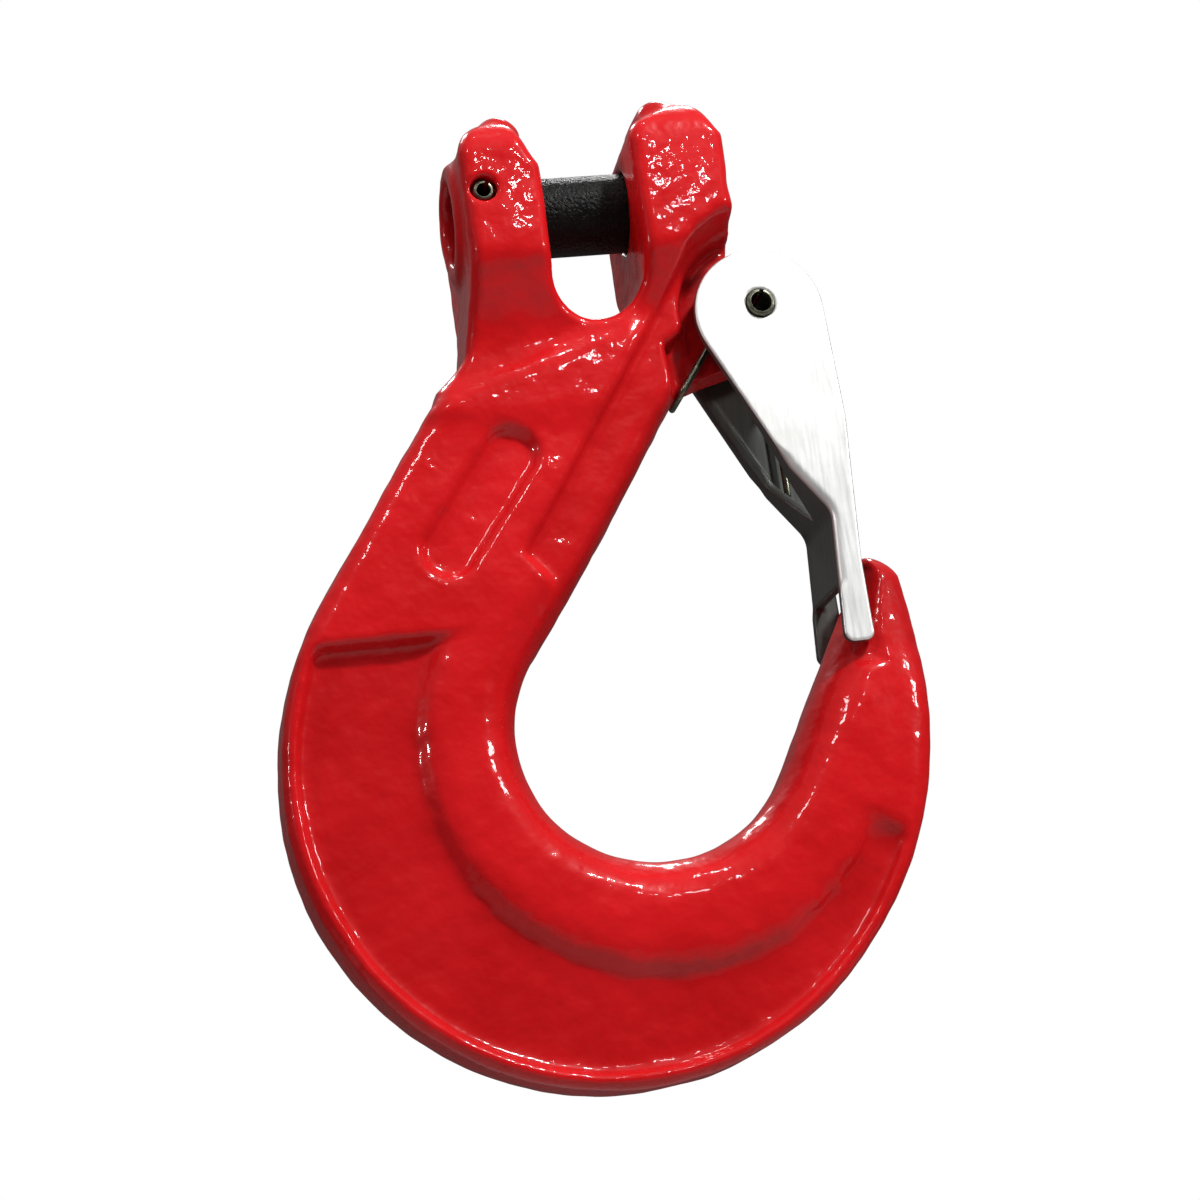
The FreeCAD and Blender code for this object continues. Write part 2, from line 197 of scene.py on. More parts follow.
# Mesh pitches
FORGING_PITCH = 0.75
LATCH_PITCH = 0.4

# Colours, from the darker to the lighter
PAINT_TONES = ((0.60, 0.006, 0.008), (0.72, 0.010, 0.014))
# Painted shade: how far the paint's colour is darkened on the sunk floors and on faces near the mid-plane
RECESS_PAINTED_SHADE = 0.78
OXIDE_TONES = ((0.003, 0.003, 0.003), (0.007, 0.007, 0.006))
ZINC_TONES = ((0.80, 0.80, 0.78), (0.92, 0.92, 0.91))
# Painted shade: the dark grey painted on the latch's inner faces, its web and its cut edges
INNER_FACE_PAINTED_SHADE = (0.11, 0.115, 0.105, 1.0)
STEEL_TONES = ((0.10, 0.10, 0.07), (0.24, 0.24, 0.18))

# Stage, in metres and watts: each lamp's name, place, width and power
LAMP_AIM = (0.0, 0.0, -0.07)
LAMPS = (
    ("key", (0.50, -0.70, 0.75), 0.10, 10.5),
    ("left_fill", (-0.45, -0.80, 0.70), 0.12, 1.6),
    ("right_fill", (0.85, -0.65, 0.20), 0.14, 3.0),
    ("sparkle", (0.22, -1.00, 0.45), 0.05, 0.7),
    ("high", (0.05, -0.38, 1.10), 0.06, 1.2),
    ("left_rim", (-0.95, -0.35, 0.15), 0.08, 1.4),
    ("back_left", (-0.4, 0.9, 1.25), 0.3, 6.0),
    ("back_right", (0.4, 0.9, 1.25), 0.3, 6.0),
)
FLOOR_Z = -1.3
FLOOR_RADIUS = 2.6
FLOOR_COLOUR = (0.86, 0.86, 0.86, 1)
WORLD_STRENGTH = {"From Min": 0.1, "From Max": 0.9, "To Min": 0.07, "To Max": 0.35}

# Camera: its place in metres and its axes
CAMERA_PLACE = (-0.10178, -0.47717, -0.19465)
CAMERA_RIGHT = (0.97693, -0.16170, -0.13949)
CAMERA_UP = (0.09600, -0.25092, 0.96324)
CAMERA_BACK = (-0.19076, -0.95441, -0.22960)
CAMERA_LENS = 77.03


# ---------------------------------------------------------------- outlines made of tangent arcs

def direction(degrees):
    """A unit vector in the XZ plane, turned up from +X."""
    return np.array([math.cos(math.radians(degrees)), math.sin(math.radians(degrees))])


def line(start, end):
    """A straight piece of an outline."""
    return {"kind": "line", "start": np.array(start, float), "end": np.array(end, float)}


def lines(*corners):
    """Straight pieces from corner to corner."""
    return [line(a, b) for a, b in zip(corners, corners[1:])]


def smooth_path(start, heading_degrees, stops):
    """Arcs and lines that pass through the stops with no corner between them."""
    path = []
    here = np.array(start, float)
    heading = direction(heading_degrees)
    for stop in stops:
        there = np.array(stop, float)
        chord = there - here
        left = np.array([-heading[1], heading[0]])
        aside = chord @ left
        if abs(aside) < 0.002 * np.linalg.norm(chord):
            path.append(line(here, there))
        else:
            radius = chord @ chord / (2 * aside)
            centre = here + left * radius
            sweep = 2 * math.atan2(aside, chord @ heading)
            first = math.atan2(*(here - centre)[::-1])
            path.append(
                {
                    "kind": "arc", "start": here, "end": there, "centre": centre, "radius": abs(radius),
                    "turn": math.copysign(1, radius), "middle": first + sweep / 2, "half": abs(sweep) / 2,
                }
            )
            cos, sin = math.cos(sweep), math.sin(sweep)
            heading = np.array([cos * heading[0] - sin * heading[1], sin * heading[0] + cos * heading[1]])
        here = there
    return path


def end_of(path):
    """Where a path ends."""
    return tuple(path[-1]["end"])


def corners_of(path):
    """Points along a path, close enough together to tell its inside from its outside."""
    points = []
    for piece in path:
        if piece["kind"] == "line":
            points.append(piece["start"])
        else:
            first = piece["middle"] - piece["turn"] * piece["half"]
            for share in np.linspace(0, 1, 24, endpoint=False):
                angle = first + piece["turn"] * 2 * piece["half"] * share
                outward = np.array([math.cos(angle), math.sin(angle)])
                points.append(piece["centre"] + piece["radius"] * outward)
    return np.array(points)


def distance_and_side(path, x, z):
    """Distance to a path, which side of it a point is on, and whether that side is certain."""
    best = np.full(np.broadcast(x, z).shape, np.inf)
    side = np.ones_like(best)
    certain = np.zeros(best.shape, bool)
    for piece in path:
        (x0, z0), (x1, z1) = piece["start"], piece["end"]
        ends = np.minimum(np.hypot(x - x0, z - z0), np.hypot(x - x1, z - z1))
        if piece["kind"] == "line":
            length = math.hypot(x1 - x0, z1 - z0)
            ux, uz = (x1 - x0) / length, (z1 - z0) / length
            along = (x - x0) * ux + (z - z0) * uz
            aside = (z - z0) * ux - (x - x0) * uz
            beside = (along >= 0) & (along <= length)
            far = np.abs(aside)
        else:
            dx, dz = x - piece["centre"][0], z - piece["centre"][1]
            rho = np.hypot(dx, dz)
            turn = (np.arctan2(dz, dx) - piece["middle"] + math.pi) % (2 * math.pi) - math.pi
            beside = np.abs(turn) <= piece["half"]
            aside = (piece["radius"] - rho) * piece["turn"]
            far = np.abs(aside)
        far = np.where(beside, far, ends)
        nearer = far < best - 1e-9
        best = np.where(nearer, far, best)
        side = np.where(nearer, np.sign(aside), side)
        certain = np.where(nearer, beside, certain)
    return best, side, certain


def outline_distance(path, x, z):
    """Signed distance to a closed outline, negative inside."""
    far, side, certain = distance_and_side(path, x, z)
    points = corners_of(path)
    inside = np.zeros(far.shape, bool)
    for (x0, z0), (x1, z1) in zip(points, np.roll(points, -1, axis=0)):
        if z0 != z1:
            crosses = (z0 > z) != (z1 > z)
            inside ^= crosses & (x < x0 + (z - z0) * (x1 - x0) / (z1 - z0))
    turned = points[:, 0] @ np.roll(points[:, 1], -1) - points[:, 1] @ np.roll(points[:, 0], -1)
    inside_side = side * math.copysign(1, turned) > 0
    return np.where(np.where(certain, inside_side, inside), -far, far)


# ---------------------------------------------------------------- building blocks of a rounded solid

def smooth_max(a, b, k):
    """The larger of two fields, with a fillet about k wide where they cross."""
    near = np.maximum(k - np.abs(a - b), 0) / k
    return np.maximum(a, b) + near * near * k / 4


def smooth_min(a, b, k):
    """The smaller of two fields, with a fillet about k wide where they cross."""
    return -smooth_max(-a, -b, k)


def rounded_corner(a, b, radius):
    """Where two fields are both negative, with a round edge of that radius."""
    return np.minimum(np.maximum(a + radius, b + radius), 0) + np.hypot(
        np.maximum(a + radius, 0), np.maximum(b + radius, 0)
    ) - radius


def ease(share):
    """A smooth step from 0 to 1."""
    share = np.clip(share, 0, 1)
    return share * share * (3 - 2 * share)


def past(value, start, end):
    """A smooth step from 0 at the start to 1 at the end, which may be on either side of it."""
    return ease((value - start) / (end - start))


def capsule(start, end, radius, x, z):
    """Signed distance in the XZ plane to a round-ended bar."""
    run = np.array(end) - np.array(start)
    share = np.clip(((x - start[0]) * run[0] + (z - start[1]) * run[1]) / (run @ run), 0, 1)
    return np.hypot(x - start[0] - share * run[0], z - start[1] - share * run[1]) - radius


def sunk(wall, depth, floor, slope_degrees, foot):
    """A cut from the face down to a floor: wall is the cut's outline at the floor, negative inside."""
    cos, sin = math.cos(math.radians(slope_degrees)), math.sin(math.radians(slope_degrees))
    return smooth_max(wall * cos - (depth - floor) * sin, floor - depth, foot)


def waves(points, wavelength, count, seed):
    """Smooth random unevenness between about -1 and 1, from waves in random directions."""
    rng = np.random.default_rng(seed)
    total = np.zeros(points[0].shape)
    for _ in range(count):
        axis = rng.normal(size=3)
        axis *= 2 * math.pi / (wavelength * rng.uniform(0.7, 1.5)) / np.linalg.norm(axis)
        phase = rng.uniform(0, 2 * math.pi)
        total += np.sin(points[0] * axis[0] + points[1] * axis[1] + points[2] * axis[2] + phase)
    return total / math.sqrt(count)


# ---------------------------------------------------------------- the forging

OUTER_PATH = smooth_path(
    SHANK_TOP,
    SHANK_ANGLE + 180,
    [(-60.35, -75.55), (-72.4, -112.8), (28.4, -159.2), (54.1, -101.0), (52.8, -82.2)],
)
NOSE_PATH = smooth_path(end_of(OUTER_PATH), TIP_HEADING, [(48.6, -76.9), (44.7, -79.6)])
INNER_PATH = smooth_path(
    end_of(NOSE_PATH),
    THROAT_HEADING,
    [(24.0, -118.0), (-13.7, -129.2), (-26.9, -108.5), (-21.2, -90.6), (14.5, -39.6)],
)
BLADE_PATH = OUTER_PATH + NOSE_PATH + INNER_PATH + lines(
    end_of(INNER_PATH), (10.5, -26.0), (8.0, -18.0), (-20.0, -20.0), SHANK_TOP
)


def clevis_path():
    """The front outline of both ears, the gap between them and the neck below."""
    left = lines((-33.9, -43.0), SHANK_TOP, (-29.0, -32.6))
    left += smooth_path(
        end_of(left), 46.7,
        [(-27.65, -30.0), (-26.05, -22.0), (LEFT_EAR_X, -12.0), (LEFT_EAR_X, 6.0), (-24.0, 11.6)],
    )
    left += smooth_path(end_of(left), 66, [(-21.4, 15.2), (-17.4, 17.0)])
    left += smooth_path(end_of(left), 8, [(-12.6, 13.6), (-GAP_HALF_WIDTH, 5.0)])
    saddle = smooth_path(
        end_of(left), 270,
        [(-GAP_HALF_WIDTH, SADDLE_Z), (GAP_HALF_WIDTH, SADDLE_Z), (GAP_HALF_WIDTH, 8.0)],
    )
    right = smooth_path(end_of(saddle), 90, [(12.2, 13.8), (18.4, 18.6), (25.3, 16.4), (RIGHT_EAR_X, 9.0)])
    right += smooth_path(end_of(right), 270, [(28.1, 0.0), (28.8, -8.0), (27.6, -14.0)])
    return left + saddle + right + lines(
        end_of(right), (18.5, -30.0), (12.5, -38.0), (-1.5, -52.0), (-33.9, -43.0)
    )


CLEVIS_PATH = clevis_path()


def blade(x, depth, z):
    """Shank, bowl and tip, before anything is sunk into the faces."""
    edge = outline_distance(BLADE_PATH, x, z)
    to_outer = distance_and_side(OUTER_PATH, x, z)[0]
    to_inner = distance_and_side(INNER_PATH, x, z)[0]
    inward = to_outer / (to_outer + to_inner + 1e-6)
    drop = (BODY_HALF_DEPTH - RIM_HALF_DEPTH) * past(z, *RIM_FADE_Z) * ease(1.6 - 2.2 * inward)
    toward_tip = past(x, *TIP_FADE_X) * past(z, *TIP_FADE_Z)
    drop = drop * (1 - toward_tip) + toward_tip * (TIP_DROP + TIP_TAPER * np.maximum(x - 41.0, 0))
    drop = drop + TIP_THINNING * past(x, *THINNING_FADE_X) * past(z, *THINNING_FADE_Z)
    crown = BEAD_CROWN * np.clip((inward - 0.62) / 0.38, 0, 1) ** 2 * past(z, *CROWN_FADE_Z)
    half_depth = BODY_HALF_DEPTH - drop - crown
    radius = OUTER_EDGE_RADIUS + (INNER_EDGE_RADIUS - OUTER_EDGE_RADIUS) * inward
    radius = radius + (0.6 + 4.0 * inward) * toward_tip
    draft = DRAFT_OUTER + (DRAFT_INNER - DRAFT_OUTER) * inward
    draft = draft * (depth / BODY_HALF_DEPTH) ** 2
    slab = rounded_corner(edge + draft, depth - half_depth, radius)
    across = direction(RIDGE_ANGLE + 90)
    above = (x - RIDGE_START[0]) * across[0] + (z - RIDGE_START[1]) * across[1]
    return rounded_corner(slab, above, RIDGE_EDGE_RADIUS)


def ear_depth(z):
    """Half of the clevis's depth at a height: the pads, and the neck below them."""
    rise = (z - EAR_PAD_FOOT_Z) * (EAR_HALF_DEPTH - NECK_HALF_DEPTH) / EAR_PAD_RISE
    flared = smooth_max(NECK_HALF_DEPTH + rise, NECK_HALF_DEPTH, 3.0)
    return smooth_min(flared, EAR_HALF_DEPTH, 1.2)


def clevis(x, depth, z):
    """Both ears with their domed tops, and the neck."""
    front = outline_distance(CLEVIS_PATH, x, z)
    side = (depth - ear_depth(z)) * 0.88
    axis_depth, axis_z = EAR_ROOF_AXIS
    rise = RIGHT_ROOF_RISE * past(x, *RIGHT_ROOF_FADE_X)
    roof = np.hypot(depth - axis_depth, z - axis_z - rise) - EAR_ROOF_RADIUS
    body = rounded_corner(front, smooth_max(side, roof, 3.0), EAR_EDGE_RADIUS)
    for centre, radius in EAR_NOSES:
        disc = np.hypot(x - centre[0], z - centre[1]) - radius
        nose = smooth_max(disc, depth - EAR_NOSE_HALF_DEPTH, 4.0)
        body = smooth_min(body, nose, 2.5)
    return body


def bowl_recess(x, depth, z):
    """The sunk floor between the bead round the bowl and the outer rim."""
    rim = RIM_WIDTH - distance_and_side(OUTER_PATH, x, z)[0]
    from_centre = np.hypot(x - BEAD_CENTRE[0], z - BEAD_CENTRE[1])
    run = (from_centre - BEAD_CREST_RADIUS) / (BEAD_FOOT_RADIUS - BEAD_CREST_RADIUS)
    rise = (depth - FLOOR_HALF_DEPTH) / (BODY_HALF_DEPTH + 0.6 - FLOOR_HALF_DEPTH)
    bead = 5.0 * (1 - np.hypot(np.maximum(run, 0), np.maximum(rise, 0)))
    lip = z - RECESS_TOP_Z
    across = direction(RECESS_END_ANGLE + 90)
    end = (x - BEAD_CENTRE[0]) * across[0] + (z - BEAD_CENTRE[1]) * across[1]
    floor = FLOOR_HALF_DEPTH
    walls = smooth_max(sunk(rim, depth, floor, *RIM_WALL), smooth_max(bead, floor - depth, 3.0), 0.5)
    walls = smooth_max(walls, sunk(lip, depth, floor, *LIP_WALL), 1.6)
    return smooth_max(walls, sunk(end, depth, floor, *RECESS_END_WALL), 2.0)


def shank_pocket(x, depth, z):
    """The long shallow pocket on the shank."""
    return sunk(capsule(*POCKET_ENDS, POCKET_RADIUS, x, z), depth, POCKET_HALF_DEPTH, *POCKET_WALL)


def latch_clearance(x, depth, z):
    """The relief in which the latch's plates swing."""
    along = direction(SHANK_ANGLE + 180)
    across = direction(SHANK_ANGLE - 90)
    dx, dz = x - PIVOT[0], z - PIVOT[1]
    down = dx * along[0] + dz * along[1]
    aside = dx * across[0] + dz * across[1]
    head = np.hypot(dx, dz) - CLEARANCE_RADIUS
    length = CLEARANCE_LENGTH + CLEARANCE_END_TILT * (aside + CLEARANCE_RADIUS)
    strip = np.maximum(np.maximum(-CLEARANCE_RADIUS - aside, down - length), -down)
    strip = np.maximum(strip, aside - CLEARANCE_SIDE)
    return sunk(np.minimum(head, strip), depth, CLEARANCE_HALF_DEPTH, *CLEARANCE_WALL)


def spring_clearance(x, depth, z):
    """The deeper relief beside the lug, where the coils sit."""
    room = np.hypot(x - PIVOT[0], z - PIVOT[1]) - LUG_CLEARANCE_RADIUS
    path = lines((26.5, -12.0), (16.0, -30.0), (12.8, -32.0), (13.6, -46.0), (32.5, -40.0), (26.5, -12.0))
    room = np.minimum(room, outline_distance(path, x, z))
    return sunk(room, depth, LUG_HALF_DEPTH, *LUG_CLEARANCE_WALL)


def lug(x, depth, z):
    """The thin lug that carries the latch."""
    disc = np.hypot(x - PIVOT[0], z - PIVOT[1]) - LUG_RADIUS
    root = outline_distance(
        lines(
            (14.5, -39.6), (28.7, -35.4), PIVOT, (29.0, -15.4), (24.0, -8.0), (12.0, -28.0), (2.5, -45.0),
            (14.5, -39.6),
        ),
        x, z,
    )
    return rounded_corner(smooth_min(disc, root, 2.0), depth - LUG_HALF_DEPTH, LUG_EDGE_RADIUS)


def tip_shelf(x, depth, z):
    """The sunk flat on the tip where the latch's leg lies."""
    wall = np.maximum(np.maximum(x - SHELF_RIGHT_X, SHELF_BOTTOM_Z - z), SHELF_LEFT_X - x)
    wall = smooth_max(wall, z - SHELF_TOP_Z, 1.0)
    return sunk(wall, depth, CLEARANCE_HALF_DEPTH, *SHELF_WALL)


def forging(x, y, z):
    """The whole painted forging."""
    depth = np.sqrt(y * y + 0.01)
    across_pin = np.hypot(y, z)
    mouth = RETAINING_MOUTH_WIDENING * past(depth, *RETAINING_MOUTH_FADE)

    def cut(body, part, fillet):
        return smooth_max(body, -part(x, depth, z), FILLETS[fillet])

    def bore(body, radius, from_axis, fillet):
        return smooth_max(body, radius - from_axis, FILLETS[fillet])

    body = blade(x, depth, z)
    body = cut(body, bowl_recess, "recess")
    body = cut(body, shank_pocket, "pocket")
    body = smooth_min(body, clevis(x, depth, z), FILLETS["clevis"])
    body = cut(body, latch_clearance, "clearance")
    body = cut(body, spring_clearance, "spring")
    body = cut(body, tip_shelf, "shelf")
    body = smooth_min(body, lug(x, depth, z), FILLETS["lug"])
    boss = smooth_max(across_pin - BOSS_RADIUS, np.abs(x - BOSS_X) - BOSS_HALF_WIDTH, 2.0)
    body = smooth_min(body, boss, FILLETS["boss"])
    body = bore(body, PIN_HOLE_RADIUS, across_pin, "pin_hole")
    body = bore(body, RETAINING_PIN_RADIUS + mouth, np.hypot(x - RETAINING_PIN_X, z), "retaining_hole")
    return bore(body, PIVOT_PIN_RADIUS, np.hypot(x - PIVOT[0], z - PIVOT[1]), "pivot_hole")


def rough_forging(x, y, z):
    """The forging with the slight unevenness that its dies and scale leave."""
    field = forging(x, y, z)
    for extra, (height, wavelength, count) in enumerate(UNEVENNESS):
        field = field + height * waves((x, y, z), wavelength, count, NOISE_SEED + extra)
    return field


# ---------------------------------------------------------------- the latch

def latch_path():
    """The front outline of the latch: head, tapering plate and leg."""
    centre, radius = np.array(LATCH_HEAD_CENTRE), LATCH_HEAD_RADIUS
    right = centre + direction(4) * radius
    left = centre + direction(205) * radius
    path = smooth_path(right, 94, [left])
    path += lines(left, LATCH_KINK, (38.1, -67.2))
    path += smooth_path(end_of(path), -52, [(39.3, -71.5)])
    path += lines(end_of(path), (38.0, -93.4))
    path += smooth_path(end_of(path), 266, [(39.7, -95.6)])
    path += lines(end_of(path), (42.2, -95.6))
    path += smooth_path(end_of(path), 0, [(43.9, -93.6)])
    return path + lines(end_of(path), (43.8, -79.4), (45.5, -50.0), right)


LATCH_PATH = latch_path()


def latch(x, y, z):
    """Folded sheet: a plate each side of the lug, joined by a web on the throat side."""
    depth = np.sqrt(y * y + 0.01)
    outline = outline_distance(LATCH_PATH, x, z)
    at_web = past(z, *WEB_FADE_TOP_Z) * past(x, *WEB_FADE_X) * past(z, *WEB_FADE_BOTTOM_Z)
    edge = LATCH_EDGE_RADIUS + (LATCH_FOLD_RADIUS - LATCH_EDGE_RADIUS) * at_web
    block = rounded_corner(outline, depth - LATCH_HALF_WIDTH, edge)
    inner_depth = LATCH_HALF_WIDTH - LATCH_SHEET
    room = outline_distance(
        lines(
            (0.0, 0.0), (0.0, -32.0), (21.6, -32.0), (34.7, -59.0), (39.8, -66.2), (41.3, -71.4),
            (40.6, LATCH_WEB_BOTTOM_Z), (0.0, LATCH_WEB_BOTTOM_Z), (0.0, -110.0), (60.0, -110.0),
            (60.0, 0.0), (0.0, 0.0),
        ),
        x, z,
    )
    room = rounded_corner(room, depth - inner_depth, LATCH_INNER_RADIUS)
    body = smooth_max(block, -room, 0.5)
    notch = depth - inner_depth
    for (outer, upper), (inner, lower) in zip(LATCH_NOTCH, LATCH_NOTCH[1:]):
        slope = (upper - lower) / (outer - inner)
        notch = smooth_max(notch, (lower + slope * (depth - inner) - z) / math.hypot(1, slope), 0.5)
    body = smooth_max(body, -notch, 0.4)
    hole = PIVOT_PIN_RADIUS + LATCH_HOLE_GAP - np.hypot(x - PIVOT[0], z - PIVOT[1])
    return smooth_max(body, hole, 0.4)


# ---------------------------------------------------------------- fields into meshes

def surface_nets(field, low, high, pitch):
    """Vertices and quads where a field is zero, one vertex to each grid cell that the surface crosses."""
    axes = [np.arange(a, b + pitch, pitch) for a, b in zip(low, high)]
    value = field(*np.meshgrid(*axes, indexing="ij", sparse=True))
    inside = value < 0
    cells = tuple(n - 1 for n in inside.shape)
    corners = [(i, j, k) for i in (0, 1) for j in (0, 1) for k in (0, 1)]

    def corner(grid, offset):
        return grid[tuple(slice(o, o + n) for o, n in zip(offset, cells))]

    count = sum(corner(inside, c).astype(np.int8) for c in corners)
    active = (count > 0) & (count < 8)
    places = np.argwhere(active)
    number = np.full(cells, -1)
    number[active] = np.arange(len(places))
    total = np.zeros((len(places), 3))
    crossings = np.zeros(len(places))
    for a in corners:
        for b in corners:
            if sum(abs(p - q) for p, q in zip(a, b)) == 1 and a < b:
                va = value[tuple((places + a).T)]
                vb = value[tuple((places + b).T)]
                crossed = (va < 0) != (vb < 0)
                share = np.where(crossed, va / np.where(crossed, va - vb, 1), 0)[:, None]
                total += np.where(crossed[:, None], np.array(a) + share * (np.array(b) - np.array(a)), 0)
                crossings += crossed
    vertices = np.array(low) + pitch * (places + total / crossings[:, None])
    quads = []
    for axis in range(3):
        a, b = (axis + 1) % 3, (axis + 2) % 3
        first = np.take(inside, range(inside.shape[axis] - 1), axis)
        second = np.take(inside, range(1, inside.shape[axis]), axis)
        edges = np.argwhere(first != second)
        ring = []
        for step_a, step_b in ((0, 0), (-1, 0), (-1, -1), (0, -1)):
            cell = edges.copy()
            cell[:, a] += step_a
            cell[:, b] += step_b
            ring.append(number[tuple(cell.T)])
        ring = np.stack(ring, 1)
        outward = first[tuple(edges.T)]
        quads.append(np.where(outward[:, None], ring, ring[:, ::-1]))
    return vertices, np.concatenate(quads)


def gradient(field, points):
    """The field's value and slope at each point."""
    step = 0.02
    value = field(*points.T)
    slope = np.empty_like(points)
    for axis in range(3):
        moved = points.copy()
        moved[:, axis] += step
        slope[:, axis] = (field(*moved.T) - value) / step
    return value, slope


def settle(field, points, quads, pitch, rounds):
    """Even the mesh out along the surface and bring each vertex exactly onto it."""
    pairs = np.concatenate([quads[:, [i, (i + 1) % 4]] for i in range(4)])
    pairs = np.concatenate([pairs, pairs[:, ::-1]])
    weight = np.bincount(pairs[:, 0], minlength=len(points))[:, None]
    for turn in range(rounds):
        value, slope = gradient(field, points)
        steepness = np.maximum((slope**2).sum(1), 0.05)
        step = slope * (value / steepness)[:, None]
        length = np.linalg.norm(step, axis=1, keepdims=True)
        points = points - step * np.minimum(1, 0.5 * pitch / np.maximum(length, 1e-9))
        if turn < rounds - 1:
            sums = [np.bincount(pairs[:, 0], points[pairs[:, 1], axis], len(points)) for axis in range(3)]
            drift = np.stack(sums, 1) / weight - points
            normal = slope / np.sqrt(steepness)[:, None]
            points = points + 0.5 * (drift - normal * (drift * normal).sum(1, keepdims=True))
    return points


def mesh_object(name, points, faces):
    """A smooth-shaded object from points in millimetres."""
    mesh = bpy.data.meshes.new(name)
    mesh.from_pydata((np.asarray(points) * MM).tolist(), [], [list(map(int, face)) for face in faces])
    mesh.validate()
    mesh.shade_smooth()
    piece = bpy.data.objects.new(name, mesh)
    bpy.context.scene.collection.objects.link(piece)
    return piece


def solid_object(name, coarse, fine, low, high, pitch):
    """An object from two fields: a mesh laid over the coarse one, settled onto the fine one."""
    points, quads = surface_nets(coarse, low, high, pitch)
    points = settle(fine, points, quads, pitch, 5)
    return mesh_object(name, points, quads)


# ---------------------------------------------------------------- turned, swept and tube pieces

def tube_faces(rings, around, closed_ends):
    """Quads between rings of points, with a cap on each end if asked."""
    faces = []
    for ring in range(rings - 1):
        for i in range(around):
            j = (i + 1) % around
            low, high = ring * around, (ring + 1) * around
            faces.append((low + i, low + j, high + j, high + i))
    if closed_ends:
        faces.append(tuple(range(around))[::-1])
        faces.append(tuple(range((rings - 1) * around, rings * around)))
    return faces


def swept_wire(name, route, radius, around=14):
    """A round wire along a route, with rounded ends."""
    route = np.array(route)
    tangents = np.gradient(route, axis=0)
    tangents /= np.linalg.norm(tangents, axis=1, keepdims=True)
    normal = np.cross(tangents[0], (0.3, 1.0, 0.2))
    rings = []
    for index, (place, along) in enumerate(zip(route, tangents)):
        normal = normal - along * (normal @ along)
        normal /= np.linalg.norm(normal)
        side = np.cross(along, normal)
        steps = [(0.0, 1.0)]
        if index == 0:
            steps = [(-ahead, share) for ahead, share in WIRE_END_PROFILE] + steps
        if index == len(route) - 1:
            steps += reversed(WIRE_END_PROFILE)
        for ahead, share in steps:
            for i in range(around):
                angle = 2 * math.pi * i / around
                out = math.cos(angle) * normal + math.sin(angle) * side
                rings.append(place + along * ahead * radius + out * share * radius)
    return mesh_object(name, rings, tube_faces(len(rings) // around, around, True))


def turned(name, profile, around):
    """A solid of revolution about the X axis, from (x, radius) pairs."""
    points = []
    for x, radius in profile:
        for i in range(around):
            angle = 2 * math.pi * i / around
            points.append((x, radius * math.sin(angle), radius * math.cos(angle)))
    return mesh_object(name, points, tube_faces(len(profile), around, True))


def spring_pin(name, centre, radius, half_length, slot_degrees):
    """A slotted tube along Y with its ends chamfered."""
    around = 44
    front = [(along - half_length, inset) for along, inset in SPRING_PIN_END_PROFILE]
    back = [(-y, inset) for y, inset in reversed(front)]
    rings = []
    for y, inset in front + back:
        outer, inner = radius - inset, radius - SPRING_PIN_WALL + 0.3 * inset
        half_slot = SPRING_PIN_SLOT / 2
        for i in range(around):
            angle = half_slot / outer + (2 * math.pi - 2 * half_slot / outer) * i / (around - 1)
            rings.append((outer, angle, y))
        for i in reversed(range(around)):
            angle = half_slot / inner + (2 * math.pi - 2 * half_slot / inner) * i / (around - 1)
            rings.append((inner, angle, y))
    turn = math.radians(slot_degrees)
    points = [
        (centre[0] + r * math.cos(a + turn), y, centre[1] + r * math.sin(a + turn)) for r, a, y in rings
    ]
    per_ring = 2 * around
    count = len(points) // per_ring
    faces = tube_faces(count, per_ring, False)
    for i in range(around - 1):
        mate = per_ring - 1 - i
        faces.append((i, i + 1, mate - 1, mate)[::-1])
        last = (count - 1) * per_ring
        faces.append((last + i, last + i + 1, last + mate - 1, last + mate))
    piece = mesh_object(name, points, faces)
    return flat_corners(piece, 35)


def flat_corners(piece, degrees):
    """Keep the edges crisp that are sharper than an angle."""
    piece.data.set_sharp_from_angle(angle=math.radians(degrees))
    return piece


def load_pin():
    """The load pin: a turned bar with rounded chamfers and a dished centre mark in each end."""
    left = [(PIN_LEFT_X + inset, radius) for inset, radius in PIN_END_PROFILE]
    right = [(PIN_RIGHT_X - inset, radius) for inset, radius in reversed(PIN_END_PROFILE)]
    return turned("load_pin_bar", left + right, 128)


